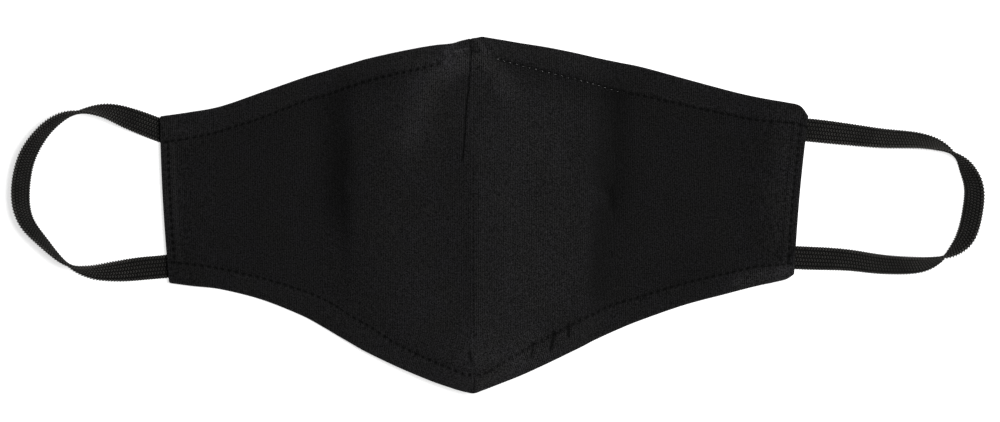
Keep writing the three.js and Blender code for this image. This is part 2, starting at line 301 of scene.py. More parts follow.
def column_places(table):
    """Places along a half's sections whose columns stand at the wanted distances."""
    place = np.linspace(0, len(table["top_x"]) - 1, 4000)
    section = read_table(table, place)
    distance = np.abs(section["top_x"] + section["bottom_x"]) / 2
    end = distance[-1]
    wanted = np.concatenate([DART_STEPS, np.arange(5.0, end - SIDE_HEM_ZONE, PLAIN_STEP),
                             np.arange(end - SIDE_HEM_ZONE, end - 0.1, SIDE_STEP), [end]])
    return np.interp(wanted, distance, place)


def row_shares(section):
    """For each column, where its rows stand: 0 at the bottom edge and 1 at the top edge."""
    length = section["top_y"] - section["bottom_y"]
    bottom = HEM_SHARES[None, :] * (section["bottom_hem"] / length)[:, None]
    top = 1 - HEM_SHARES[None, ::-1] * (section["top_hem"] / length)[:, None]
    share = np.linspace(0, 1, MIDDLE_ROWS + 2)[1:-1]
    middle = bottom[:, -1:] + (top[:, :1] - bottom[:, -1:]) * share[None, :]
    return np.concatenate([bottom, middle, top], axis=1)


places = [column_places(left_table)[::-1], column_places(right_table)[1:]]
sections = [read_table(left_table, places[0]), read_table(right_table, places[1])]
section = {name: np.concatenate([half[name] for half in sections]) for name in SECTION_COLUMNS}
v = row_shares(section)
column_count, row_count = v.shape
print("cloth grid:", column_count, "columns,", row_count, "rows")

# %% [markdown]
# ## The lie of the cloth
# The cup is a low tunnel from nose to chin with steep shoulders, and the wings lie on the table.
# A few soft folds run through it. Each is a rounded ridge between two points.

# %% The underside of the cloth
RIDGE_COLUMNS = ("from_x", "from_y", "to_x", "to_y", "width", "height")
FOLDS = [
    (-14.0, 56.0, -28.0, 22.0, 5.0, 1.6),
    (8.0, 56.0, 14.0, 40.0, 4.0, 0.9),
    (1.0, 22.0, 1.2, -50.0, 2.6, 0.6),
    (50.0, 9.0, 53.0, 1.0, 4.0, -1.2),
    (31.0, -43.0, 27.0, -53.0, 3.0, -0.5),
]


def ridge(x, y, from_x, from_y, to_x, to_y, width, height):
    """A rounded ridge, or a groove if its height is negative, between two points."""
    length_x, length_y = to_x - from_x, to_y - from_y
    along = ((x - from_x) * length_x + (y - from_y) * length_y) / (length_x ** 2 + length_y ** 2)
    nearest = np.clip(along, 0, 1)
    distance = np.hypot(x - from_x - nearest * length_x, y - from_y - nearest * length_y)
    return height * np.exp(-(distance / width) ** 2)


def ridges(x, y, rows):
    """All the ridges of a table, added up."""
    return sum(ridge(x, y, **dict(zip(RIDGE_COLUMNS, row))) for row in rows)


def column_values(name):
    """A section column, ready to be spread over the rows."""
    return section[name][:, None]


rise = np.maximum(np.sin(np.pi * v), 0)
inner_x = column_values("bottom_x") + (column_values("top_x") - column_values("bottom_x")) * v
inner_x = inner_x + column_values("bow") * rise
inner_y = column_values("bottom_y") + (column_values("top_y") - column_values("bottom_y")) * v
edge_z = column_values("bottom_z") + (column_values("top_z") - column_values("bottom_z")) * v
crown = column_values("crown_z") - (column_values("bottom_z") + column_values("top_z")) / 2
fold_z = ridges(inner_x, inner_y, FOLDS)
inner_z = np.maximum(edge_z + (crown + fold_z) * rise, 0)
inner = np.stack([inner_x, inner_y, inner_z], axis=-1)


def grid_normals(points):
    """Unit normals of a grid of points, which face up."""
    across = np.gradient(points, axis=0)
    upwards = np.gradient(points, axis=1)
    normal = np.cross(across, upwards)
    return normal / np.linalg.norm(normal, axis=-1, keepdims=True)


normals = grid_normals(inner)
print("cup height inside:", round(float(inner_z.max()), 1), "mm")

# %% [markdown]
# ## Thickness, hems, darts and dimples
# The wall is two layers of jersey, and thicker where the edge is turned in. Thread pulls the
# cloth down along the stitch line, deepest where the needle went in, so the hem puffs up between
# the line and the edge. The darts are seams: two rolled sides that meet in a narrow valley.
# At the nose the gathered cloth rolls over the top hem and hides its stitches for a short way.

# %% The outer face
CLOTH = 1.6
HEM = 2.4
STITCH_PITCH = 2.8
SIDE_STITCH_INSET = 2.2
NOSE_X = -2.0
BURIED_BY_NOSE = 10.0
NOSE_DART = [(-0.5, 69.0), (-0.8, 65.5), (-0.6, 62.5), (-1.1, 59.0), (-1.0, 56.0),
             (-1.6, 52.5), (-1.5, 49.0), (-2.2, 45.0), (-2.5, 41.0), (-2.9, 37.0),
             (-2.8, 33.0), (-3.3, 28.0), (-3.7, 21.5)]
NOSE_TACK = [(-1.9, 63.1), (1.5, 62.7)]
CHIN_DART = [(-1.2, -52.5), (-0.6, -56.0), (0.2, -61.0), (0.1, -70.0)]
PUCKERS = [
    (30.9, -45.2, 29.4, -52.0, 0.55, -0.9),
    (22.7, -49.6, 21.9, -54.6, 0.5, -1.0),
    (36.6, -42.2, 36.1, -46.4, 0.45, -0.85),
    (122.0, -18.4, 125.0, -13.0, 0.6, -0.5),
]
ROLLS = [
    (-10.5, 57.5, -6.0, 61.2, 1.4, 1.5),
    (-6.0, 61.2, -1.8, 62.2, 1.4, 1.4),
    (-7.5, 55.5, -3.6, 58.0, 1.9, 0.8),
    (-13.0, 64.0, -9.0, 60.0, 1.0, 0.7),
    (3.2, 68.0, 8.0, 62.5, 1.1, 0.8),
    (2.4, 60.0, 5.0, 56.0, 1.4, 0.6),
    (4.5, 62.5, 8.5, 48.0, 3.0, 0.5),
]
SIDE_HEM = 4.5
HEM_PUFF = 0.35
NOSE_RELIEF = 0.9
CHIN_RELIEF = 0.45
ROLLED_SIDE = 1.8
VALLEY = 0.42
HOLE_LENGTH = 0.75
HOLE_WIDTH = 0.48
PULL_COLUMNS = ("line_depth", "line_width", "hole_depth")
HEM_PULL = dict(zip(PULL_COLUMNS, (0.4, 0.6, 0.55)))
SIDE_PULL = dict(zip(PULL_COLUMNS, (0.35, 0.5, 0.5)))


def soft_step(value, low, high):
    """0 below low, 1 above high, and smooth between them."""
    t = np.clip((value - low) / (high - low), 0, 1)
    return t * t * (3 - 2 * t)


def line_distance(x, y, line):
    """Distance in plan from a line of straight pieces."""
    best = np.full(x.shape, np.inf)
    for (ax, ay), (bx, by) in zip(line, line[1:]):
        dx, dy = bx - ax, by - ay
        t = np.clip(((x - ax) * dx + (y - ay) * dy) / (dx * dx + dy * dy), 0, 1)
        best = np.minimum(best, np.hypot(x - ax - t * dx, y - ay - t * dy))
    return best


def seam_relief(distance, depth):
    """Two rolled sides with a narrow valley between them."""
    rolled = 0.35 * depth * np.exp(-(distance / ROLLED_SIDE) ** 2)
    return rolled - depth * np.exp(-(distance / VALLEY) ** 2)


def stitch_holes(phase, away):
    """1 where a needle went through, halfway between two stitches, and 0 away from the holes."""
    to_hole = (np.abs((phase % 1) - 0.5)) * STITCH_PITCH
    return np.exp(-(to_hole / HOLE_LENGTH) ** 2 - (away / HOLE_WIDTH) ** 2)


def pulled_down(pull, away, hole, where=1.0):
    """How far thread pulls the cloth down along its line and at its holes."""
    line = pull["line_depth"] * where * np.exp(-(away / pull["line_width"]) ** 2)
    return line + pull["hole_depth"] * hole


def needle_phase(points):
    """How many stitches along a line of points each one is."""
    steps = np.linalg.norm(np.diff(points, axis=0), axis=1)
    return np.concatenate([[0], np.cumsum(steps)]) / STITCH_PITCH


length = column_values("top_y") - column_values("bottom_y")
bottom_share = v * length / column_values("bottom_hem")
top_share = (1 - v) * length / column_values("top_hem")
side_distance = np.minimum(np.abs(inner_x - inner_x[:1]), np.abs(inner_x - inner_x[-1:]))
hem_share = np.minimum(bottom_share, top_share)

in_hem = 1 - soft_step(np.minimum(hem_share, side_distance / SIDE_HEM), 0.95, 1.15)
outer_lift = CLOTH + (HEM - CLOTH) * in_hem
outer_lift += HEM_PUFF * np.sin(np.pi * np.clip(hem_share, 0, 1)) ** 0.7

holes = np.zeros_like(v)
bottom_line = HEM_SHARES.size - 1 - np.argmax(HEM_SHARES[::-1] <= 1.0)
top_line = row_count - 1 - bottom_line
hem_lines = ((bottom_line, bottom_share, "bottom_hem"), (top_line, top_share, "top_hem"))
for line_row, share, name in hem_lines:
    phase = needle_phase(inner[:, line_row])[:, None]
    away = (share - 1) * column_values(name)
    hole = stitch_holes(phase, away)
    if line_row == top_line:
        from_nose = np.abs(inner_x - NOSE_X)
        hole = hole * soft_step(from_nose, BURIED_BY_NOSE - 1, BURIED_BY_NOSE + 1)
    outer_lift -= pulled_down(HEM_PULL, away, hole)
    holes = np.maximum(holes, hole)

between_lines = soft_step(hem_share, 0.9, 1.05)
for edge_column in (0, -1):
    along = needle_phase(inner[edge_column])[None, :]
    away = np.abs(inner_x - inner_x[edge_column][None, :]) - SIDE_STITCH_INSET
    hole = stitch_holes(along, away) * between_lines
    outer_lift -= pulled_down(SIDE_PULL, away, hole, between_lines)
    holes = np.maximum(holes, hole)

nose_seam = line_distance(inner_x, inner_y, NOSE_DART)
tack = line_distance(inner_x, inner_y, NOSE_TACK)
chin_seam = line_distance(inner_x, inner_y, CHIN_DART)
outer_lift += seam_relief(nose_seam, NOSE_RELIEF) + seam_relief(chin_seam, CHIN_RELIEF)
outer_lift += ridges(inner_x, inner_y, PUCKERS)
outer_lift += ridges(inner_x, inner_y, ROLLS)
outer = inner + normals * outer_lift[..., None]
print("outer face rises to", round(float(outer[..., 2].max()), 1), "mm")

# %% [markdown]
# ## Closing the cloth into one wall
# A cloth has two faces and an edge. The outer face carries the detail, so the inner face, which is
# hidden, uses only every third line. A rounded rim joins the two all the way round.

# %% The cloth as a closed mesh
RIM_BULGE = 0.6
INNER_STRIDE = 3


def outline_indices(columns, rows):
    """Grid places once round the outline, against the clock seen from above."""
    path = [(i, 0) for i in range(columns - 1)]
    path += [(columns - 1, j) for j in range(rows - 1)]
    path += [(i, rows - 1) for i in range(columns - 1, 0, -1)]
    path += [(0, j) for j in range(rows - 1, 0, -1)]
    return np.array(path)


def grid_faces(columns, rows, start=0, flip=False):
    """Four-sided faces of a grid of points."""
    index = start + np.arange(columns * rows).reshape(columns, rows)
    quads = np.stack([index[:-1, :-1], index[1:, :-1], index[1:, 1:], index[:-1, 1:]], axis=-1)
    quads = quads.reshape(-1, 4)
    return (quads[:, ::-1] if flip else quads).tolist()


inner_columns = np.unique(np.append(np.arange(0, column_count, INNER_STRIDE), column_count - 1))
inner_rows = np.unique(np.append(np.arange(0, row_count, INNER_STRIDE), row_count - 1))
coarse = inner[np.ix_(inner_columns, inner_rows)]
fine_path = outline_indices(column_count, row_count)
coarse_path = outline_indices(len(inner_columns), len(inner_rows))

rim_outer = outer[fine_path[:, 0], fine_path[:, 1]]
rim_inner = inner[fine_path[:, 0], fine_path[:, 1]]
forward = np.roll(rim_outer, -1, axis=0) - np.roll(rim_outer, 1, axis=0)
outwards = np.stack([forward[:, 1], -forward[:, 0], np.zeros(len(forward))], axis=-1)
outwards /= np.linalg.norm(outwards, axis=1, keepdims=True)
RIM_STEPS = ((0.22, 0.72), (0.5, 1.0), (0.78, 0.72))
rims = [rim_outer + (rim_inner - rim_outer) * depth + outwards * RIM_BULGE * bulge
        for depth, bulge in RIM_STEPS]

points = [outer.reshape(-1, 3), *rims, coarse.reshape(-1, 3)]
starts = np.cumsum([0] + [len(p) for p in points])
cloth_faces = grid_faces(column_count, row_count)
cloth_faces += grid_faces(len(inner_columns), len(inner_rows), start=int(starts[4]), flip=True)
fine_ring = fine_path[:, 0] * row_count + fine_path[:, 1]
rings = [fine_ring] + [starts[i] + np.arange(len(fine_ring)) for i in (1, 2, 3)]
for above, below in zip(rings, rings[1:]):
    wall = np.stack([above, below, np.roll(below, -1), np.roll(above, -1)], axis=-1)
    cloth_faces += wall.tolist()

coarse_ring = starts[4] + coarse_path[:, 0] * len(inner_rows) + coarse_path[:, 1]
coarse_at = {(int(inner_columns[i]), int(inner_rows[j])): int(coarse_ring[k])
             for k, (i, j) in enumerate(coarse_path)}
lower = rings[3]
current = coarse_at[tuple(fine_path[0])]
for k in range(len(fine_path)):
    following = (k + 1) % len(fine_path)
    reached = coarse_at.get(tuple(int(n) for n in fine_path[following]))
    if reached is None or reached == current:
        cloth_faces.append([int(lower[k]), current, int(lower[following])])
    else:
        cloth_faces.append([int(lower[k]), current, reached, int(lower[following])])
        current = reached

# %% [markdown]
# ## What the cloth's colour needs to know
# Three values go with each point. Two say how far it is across and up the cloth, so that the knit
# runs with it; the chin dart gathers the wales, so they lean towards it. The third is the tone,
# which is painted light and shade: how light or dark the cloth is painted there. Painted shade
# darkens it at the needle holes, the seams and the puckers, and a painted sheen lightens the hems.
# The patches are painted light and shade, not shape: painted highlights and painted shade for
# small folds and soft shade that the mesh is too plain to give by itself. The loft says how much
# the loose fibres stand up, which is most on the right.

# %% Where the knit runs, and the painted light and shade
def walk(points, axis):
    """Distance gone along a grid's rows or columns."""
    steps = np.linalg.norm(np.diff(points, axis=axis), axis=-1)
    gone = np.cumsum(steps, axis=axis)
    return np.insert(gone, 0, 0, axis=axis)


GATHERED_BY_CHIN = 0.035
GATHER_TOP = -46.0
GATHER_REACH = 22.0
across_cloth = walk(inner, 0).mean(axis=1)[:, None] * np.ones_like(v)
across_cloth = across_cloth + (GATHERED_BY_CHIN * np.maximum(GATHER_TOP - inner_y, 0)
                               * inner_x * np.exp(-(inner_x / GATHER_REACH) ** 2))
up_cloth = walk(inner, 1)
up_cloth -= up_cloth[:, row_count // 2][:, None]
# Painted light and shade: the height of a ridge in this table is how much lighter the cloth is
# painted there, a painted highlight where it is positive and painted shade where it is negative.
PAINTED_LIGHT_PATCHES = [
    (-53.0, 42.0, -52.0, 4.0, 7.5, -0.42),
    (-51.0, -14.0, -49.0, -36.0, 5.0, 0.30),
    (-50.0, 50.0, -36.0, 52.0, 6.0, -0.25),
    (54.5, 45.0, 53.0, 10.0, 8.0, -0.72),
    (50.8, -3.0, 48.5, -28.0, 6.0, -0.66),
    (22.0, 54.0, 48.0, 49.0, 6.0, -0.22),
    (1.0, 60.5, -3.0, 59.0, 3.0, 0.35),
    (0.0, -54.0, 3.0, -66.0, 8.0, 0.45),
    (-1.1, -53.2, -0.5, -56.6, 0.6, -1.3),
    (-0.2, -65.5, -0.1, -69.0, 0.5, -0.6),
    (-96.0, -25.0, -118.0, -22.0, 5.0, -0.20),
    (-117.5, 26.0, -116.5, -4.0, 3.5, 0.35),
    (-16.0, 53.0, -25.0, 30.0, 6.0, 0.70),
    (-9.0, 56.0, -4.5, 58.5, 4.0, 1.7),
    (-10.6, 58.0, -7.0, 61.8, 0.6, 3.0),
    (-7.0, 61.8, -1.8, 63.4, 0.55, 3.0),
    (-10.5, 61.5, -5.5, 67.0, 1.6, 1.2),
    (1.6, 67.3, 5.2, 62.0, 1.1, 1.7),
    (2.0, 60.5, 4.5, 56.5, 1.6, 0.9),
    (5.0, 59.5, 13.0, 48.0, 5.0, 0.85),
    (-22.0, 45.0, -20.0, -40.0, 22.0, 0.36),
    (22.0, -50.0, 14.0, -57.0, 6.0, 0.60),
    (24.0, 30.0, 24.0, -42.0, 22.0, 0.34),
    (122.0, -21.0, 104.0, -26.0, 3.2, 0.9),
    (122.5, -21.0, 119.0, -24.0, 3.0, 0.8),
    (123.0, 36.0, 120.0, -10.0, 4.0, 0.45),
    (-118.0, 34.0, -112.0, 31.0, 4.0, 0.30),
    (45.5, 9.0, 50.0, 6.5, 2.0, 0.55),
    (52.5, 9.5, 53.8, 3.5, 1.8, -0.50),
    (-48.2, 13.0, -47.0, 9.5, 1.0, 0.70),
    (88.0, 24.0, 80.0, -22.0, 20.0, -0.10),
    (-88.0, 20.0, -88.0, -16.0, 20.0, -0.05),
    (-8.0, -58.0, 16.0, -56.0, 9.0, 0.20),
    (4.0, -46.0, 8.0, -64.0, 12.0, 0.25),
]
# Painted light: a painted sheen lightens the hems, and painted shade darkens the needle holes, the
# dart seams, the tack and the puckers.
HEM_PAINTED_SHEEN = 0.17
HOLE_PAINTED_SHADE = 2.1
PUCKER_SHADE = 1.8
SHADE_COLUMNS = ("darker", "width")
NOSE_SHADE = dict(zip(SHADE_COLUMNS, (1.9, 0.36)))
CHIN_SHADE = dict(zip(SHADE_COLUMNS, (0.5, 0.45)))
TACK_SHADE = dict(zip(SHADE_COLUMNS, (1.2, 0.4)))
RIGHT_LOFT = 0.32
CUP_LOFT = 0.45
CUP_NAP = (26.0, 40.0, 26.0, -45.0, 22.0, 1.0)


def shaded(distance, shade):
    """How much painted shade darkens the cloth that far from a seam."""
    return shade["darker"] * np.exp(-(distance / shade["width"]) ** 2)


painted_light_and_shade = 1.0 + HEM_PAINTED_SHEEN * in_hem
painted_light_and_shade += ridges(inner_x, inner_y, PAINTED_LIGHT_PATCHES)
# The nose seam's painted shade is dotted with its stitches.
seam_stitch = 0.62 + 0.38 * np.cos(2 * np.pi * inner_y / STITCH_PITCH)
painted_light_and_shade -= seam_stitch * shaded(nose_seam, NOSE_SHADE)
painted_light_and_shade -= shaded(chin_seam, CHIN_SHADE) + shaded(tack, TACK_SHADE)
painted_light_and_shade -= HOLE_PAINTED_SHADE * holes
painted_light_and_shade += PUCKER_SHADE * ridges(inner_x, inner_y, PUCKERS)
painted_light_and_shade = np.maximum(painted_light_and_shade, 0)
grain_and_painted_light = np.stack([across_cloth, up_cloth, painted_light_and_shade], axis=-1)
loft = 1.0 + RIGHT_LOFT * soft_step(inner_x, -4, 4)
loft += CUP_LOFT * ridges(inner_x, inner_y, [CUP_NAP])
loft = np.repeat(loft[..., None], 3, axis=-1)


def on_cloth(values):
    """A grid's values in the order of the cloth's points: outer face, rim, inner face."""
    rim = values[fine_path[:, 0], fine_path[:, 1]]
    hidden = values[np.ix_(inner_columns, inner_rows)]
    return np.concatenate([values.reshape(-1, 3), *[rim] * 3, hidden.reshape(-1, 3)])


cloth = mesh_object("mask_cloth", np.concatenate(points), cloth_faces,
                    {"grain_and_painted_light": on_cloth(grain_and_painted_light), "loft": on_cloth(loft)})
print("cloth:", len(cloth.data.polygons), "faces")

# %% [markdown]
# ## Reading a closed mesh
# Faces must point outwards. The volume inside a closed mesh, added up face by face, is positive
# when they do, so it makes a simple test. The area of a cloth wall counts both of its faces.

# %% Volume and area
def measure(thing):
    """Volume in cubic millimetres and area in square millimetres."""
    mesh = thing.data
    mesh.calc_loop_triangles()
    corners = np.empty(len(mesh.loop_triangles) * 3, int)
    mesh.loop_triangles.foreach_get("vertices", corners)
    places = np.empty(len(mesh.vertices) * 3)
    mesh.vertices.foreach_get("co", places)
    a, b, c = (places.reshape(-1, 3) / MM)[corners.reshape(-1, 3)].transpose(1, 0, 2)
    turned = np.cross(b - a, c - a)
    return float((a * turned).sum() / 6), float(np.linalg.norm(turned, axis=1).sum() / 2)


volume, area = measure(cloth)
print("cloth volume", round(volume), "mm3, one face", round(area / 2), "mm2")

# %% [markdown]
# ## Cotton jersey
# Single jersey is a weft knit: columns of loops, the wales, stand about three quarters of a
# millimetre apart, and each loop is a course about half a millimetre tall. Dyed black and matt, it
# gives back very little light, most of it from loose fibres. The pattern follows the cloth, because
# it reads distances that were measured along it. Wales show as fine ribs, and courses as a faint V.

# %% Cotton jersey
WALE = 0.74
COURSE_HEIGHT = 0.55
COURSE_SLANT = 1.3
COURSE_SHARE = 0.35
FIBRE_SHARE = 2.6
DYE_RANGE = 2.4
DYE_SCALE = 0.2


def new_material(name):
    """An empty node material with a Principled shader already joined to its output."""
    material = bpy.data.materials.new(name)
    material.use_nodes = True
    tree = material.node_tree
    tree.nodes.clear()
    shader = add(tree, "ShaderNodeBsdfPrincipled")
    add(tree, "ShaderNodeOutputMaterial", {"Surface": shader.outputs[0]})
    return material, tree, shader


jersey, tree, shader = new_material("matt_cotton_jersey")
grain_and_light_node = add(tree, "ShaderNodeAttribute", attribute_name="grain_and_painted_light")
grain_and_light_parts = add(tree, "ShaderNodeSeparateXYZ", {0: grain_and_light_node.outputs["Vector"]})
wale_turn = times(tree, grain_and_light_parts.outputs[0], 2 * math.pi / WALE)
wale_wave = add(tree, "ShaderNodeMath", {0: wale_turn}, operation="COSINE")
wale_slant = times(tree, wale_wave.outputs[0], COURSE_SLANT)
course_turn = add(tree, "ShaderNodeMath",
                  {0: grain_and_light_parts.outputs[1], 1: 2 * math.pi / COURSE_HEIGHT,
                   2: wale_slant},
                  operation="MULTIPLY_ADD")
course_wave = add(tree, "ShaderNodeMath", {0: course_turn.outputs[0]}, operation="SINE")
knit = add(tree, "ShaderNodeMath",
           {0: course_wave.outputs[0], 1: COURSE_SHARE, 2: wale_wave.outputs[0]},
           operation="MULTIPLY_ADD")
place = add(tree, "ShaderNodeTexCoord")
fibre = add(tree, "ShaderNodeTexNoise",
            {"Vector": place.outputs["Object"], "Scale": 1800.0, "Detail": 4.0})
fluff_and_painted_light = add(tree, "ShaderNodeMapRange",
            {"Value": fibre.outputs[0], 1: 0.3, 2: 0.7, 3: -1.0, 4: 1.0}, clamp=False)
patch = add(tree, "ShaderNodeTexNoise",
            {"Vector": place.outputs["Object"], "Scale": 45.0, "Detail": 2.0})
flat = add(tree, "ShaderNodeMath", {0: fluff_and_painted_light.outputs[0], 1: FIBRE_SHARE, 2: knit.outputs[0]},
           operation="MULTIPLY_ADD")
loft_node = add(tree, "ShaderNodeAttribute", attribute_name="loft")
relief = times(tree, flat.outputs[0], loft_node.outputs["Fac"])
bump = add(tree, "ShaderNodeBump", {"Height": relief, "Distance": 0.1 * MM, "Strength": 1.0})
dye = add(tree, "ShaderNodeMapRange",
          {"Value": relief, 1: -DYE_RANGE, 2: DYE_RANGE, 3: 0.0, 4: 2.0}, clamp=False)
# The tone channel is painted light and shade; here it scales the knit's colour.
knit_and_painted_light = times(tree, grain_and_light_parts.outputs[2], dye.outputs[0])
worn = add(tree, "ShaderNodeMapRange", {"Value": patch.outputs[0], 1: 0.3, 2: 0.7, 3: 0.9, 4: 1.1})
nap_and_painted_light = times(tree, knit_and_painted_light, worn.outputs[0])
lighter = add(tree, "ShaderNodeMath", {0: nap_and_painted_light, 1: DYE_SCALE},
              operation="MULTIPLY", use_clamp=True)
tint = add(tree, "ShaderNodeTexNoise",
           {"Vector": place.outputs["Object"], "Scale": 90.0, "Detail": 1.0})
hue = add(tree, "ShaderNodeMapRange", {"Value": tint.outputs[0], 1: 0.3, 2: 0.7, 3: 0.0, 4: 1.0})
faded = add(tree, "ShaderNodeMix", {"Factor": hue.outputs[0]}, data_type="RGBA")
faded.inputs[6].default_value = linear("#3c3b3b")
faded.inputs[7].default_value = linear("#3b3a3d")
colour = add(tree, "ShaderNodeMix", {"Factor": lighter.outputs[0], 7: faded.outputs[2]},
             data_type="RGBA")
colour.inputs[6].default_value = linear("#010101")
tree.links.new(colour.outputs[2], shader.inputs["Base Color"])
tree.links.new(bump.outputs[0], shader.inputs["Normal"])
shader.inputs["Roughness"].default_value = 0.92
shader.inputs["Specular IOR Level"].default_value = 0.06
shader.inputs["Sheen Weight"].default_value = 0.02
shader.inputs["Sheen Roughness"].default_value = 0.6
cloth.data.materials.append(jersey)
print("wales per centimetre:", round(10 / WALE, 1))

# %% [markdown]
# ## Sewing thread and topstitching
# The hems are held by a lockstitch: short lengths of thread that dip into a needle hole at each
# end. Modelling each by hand would be slow and uneven. Geometry Nodes makes one bent length of
# thread, then sets a copy on every place between two needle holes, turned to lie along the seam.
# Spun polyester is smoother than cotton, so a stitch that stands proud catches a small glint.

# %% Sewing thread
thread, tree, shader = new_material("black_polyester_thread")
place = add(tree, "ShaderNodeTexCoord")
ply = add(tree, "ShaderNodeTexNoise", {"Vector": place.outputs["Object"], "Scale": 1800.0})
colour = add(tree, "ShaderNodeMix", {"Factor": ply.outputs[0]}, data_type="RGBA")
colour.inputs[6].default_value = linear("#060606")
colour.inputs[7].default_value = linear("#161617")
tree.links.new(colour.outputs[2], shader.inputs["Base Color"])
shader.inputs["Roughness"].default_value = 0.22
shader.inputs["Specular IOR Level"].default_value = 0.6


def new_tree(name, sizes):
    """An empty Geometry Nodes tree with a mesh, named sizes and a material coming in."""
    tree = bpy.data.node_groups.new(name, "GeometryNodeTree")
    tree.interface.new_socket("Geometry", in_out="INPUT", socket_type="NodeSocketGeometry")
    for size in sizes:
        tree.interface.new_socket(size, in_out="INPUT", socket_type="NodeSocketFloat")
    tree.interface.new_socket("Material", in_out="INPUT", socket_type="NodeSocketMaterial")
    tree.interface.new_socket("Geometry", in_out="OUTPUT", socket_type="NodeSocketGeometry")
    return tree, add(tree, "NodeGroupInput").outputs


def set_copies(tree, given, shape):
    """Ends a tree: a copy of a shape on each point, X along the seam and Z out of the face."""
    along, face = (add(tree, "GeometryNodeInputNamedAttribute", {"Name": name},
                       data_type="FLOAT_VECTOR") for name in ("along", "face"))
    turn = add(tree, "FunctionNodeAxesToRotation", {0: face.outputs[0], 1: along.outputs[0]},
               primary_axis="Z", secondary_axis="X")
    copies = add(tree, "GeometryNodeInstanceOnPoints",
                 {"Points": given["Geometry"], "Instance": shape, "Rotation": turn.outputs[0]})
    real = add(tree, "GeometryNodeRealizeInstances", {0: copies.outputs[0]})
    finish = add(tree, "GeometryNodeSetMaterial",
                 {0: real.outputs[0], "Material": given["Material"]})
    add(tree, "NodeGroupOutput", {0: finish.outputs[0]})


def grow(name, source, tree, values):
    """Runs a tree on an object and keeps the result as a plain mesh in its place."""
    modifier = source.modifiers.new(tree.name, "NODES")
    modifier.node_group = tree
    for item in tree.interface.items_tree:
        if item.in_out == "INPUT" and item.name in values:
            modifier[item.identifier] = values[item.name]
    depsgraph = bpy.context.evaluated_depsgraph_get()
    mesh = bpy.data.meshes.new_from_object(source.evaluated_get(depsgraph))
    mesh.shade_smooth()
    bpy.data.objects.remove(source)
    thing = bpy.data.objects.new(name, mesh)
    bpy.context.scene.collection.objects.link(thing)
    return thing


# %% The stitch tree
stitch_tree, given = new_tree("lockstitch", ("Stitch length", "Thread radius", "Rise", "Dip"))
down = times(stitch_tree, given["Dip"], -1.0)
first, last = (add(stitch_tree, "ShaderNodeCombineXYZ",
                   {0: times(stitch_tree, given["Stitch length"], end), 2: down})
               for end in (-0.5, 0.5))
top = add(stitch_tree, "ShaderNodeCombineXYZ", {2: given["Rise"]})
bend = add(stitch_tree, "GeometryNodeCurveQuadraticBezier",
           {"Resolution": 5, "Start": first.outputs[0], "Middle": top.outputs[0],
            "End": last.outputs[0]})
ring = add(stitch_tree, "GeometryNodeCurvePrimitiveCircle",
           {"Resolution": 6, "Radius": given["Thread radius"]})
strand = add(stitch_tree, "GeometryNodeCurveToMesh",
             {0: bend.outputs[0], 1: ring.outputs[0], "Fill Caps": True})
set_copies(stitch_tree, given, strand.outputs[0])
print("stitch tree:", len(stitch_tree.nodes), "nodes")

# %% Places for the stitches
STITCH_COLUMNS = ("middle", "along", "face")
stitch_places = {name: [] for name in STITCH_COLUMNS}


def between(wanted, phase, values):
    """Three-part values at the wanted counts of stitches."""
    return np.stack([np.interp(wanted, phase, values[:, i]) for i in range(3)], axis=-1)


def add_stitches(line, face, first=0, last=-1, hidden=0.0):
    """Marks a place at every whole stitch along a line on the cloth, past what a fold hides."""
    phase = needle_phase(line)
    whole = np.arange(math.ceil(phase[first] + 0.5), math.floor(phase[last] - 0.5) + 1)
    whole = whole[np.abs(between(whole, phase, line)[:, 0] - NOSE_X) > hidden]
    ahead = between(whole + 0.25, phase, line)
    behind = between(whole - 0.25, phase, line)
    stitch_places["middle"].append(between(whole, phase, line))
    stitch_places["along"].append(unit(ahead - behind))
    stitch_places["face"].append(between(whole, phase, face))
    return len(whole)


def side_line(grid, edge_column):
    """The line of a side hem's stitches on a grid, a fixed way in from the side edge."""
    reach = np.abs(inner_x - inner_x[edge_column][None, :])
    order = slice(None) if edge_column == 0 else slice(None, None, -1)
    return np.stack([[np.interp(SIDE_STITCH_INSET, reach[order, j], grid[order, j, i])
                      for i in range(3)] for j in range(row_count)])


# Thread is drawn tight into the cloth nearly everywhere. On the right of the top hem the stitches
# glint, so they are drawn standing up a little there, as thread that was sewn looser would.
TIGHT = 0.24
LOOSE_RISE = 0.30
LOOSE_MIDDLE = 34.0
LOOSE_REACH = 32.0
top_hem_x = outer[:, top_line, :1]
loose = np.exp(-((top_hem_x - LOOSE_MIDDLE) / LOOSE_REACH) ** 2) * (top_hem_x > 0)
slack = normals[:, top_line] * (LOOSE_RISE + TIGHT) * loose
tight = outer - TIGHT * normals
CORNER_COLUMNS = 4
stitched = {
    "bottom hem": add_stitches(tight[:, bottom_line], normals[:, bottom_line],
                               CORNER_COLUMNS, -1 - CORNER_COLUMNS),
    "top hem": add_stitches(tight[:, top_line] + slack, normals[:, top_line],
                            CORNER_COLUMNS, -1 - CORNER_COLUMNS, BURIED_BY_NOSE),
    "left side": add_stitches(side_line(tight, 0), side_line(normals, 0), bottom_line, top_line),
    "right side": add_stitches(side_line(tight, -1), side_line(normals, -1), bottom_line, top_line),
}
stitch_places = {name: np.concatenate(parts) for name, parts in stitch_places.items()}
source = mesh_object("stitch_places", stitch_places["middle"], [],
                     {name: stitch_places[name] for name in ("along", "face")})
stitches = grow("topstitching", source, stitch_tree, {
    "Stitch length": 2.2 * MM, "Thread radius": 0.22 * MM, "Rise": 0.22 * MM, "Dip": 0.6 * MM,
    "Material": thread})
print("stitches:", stitched)
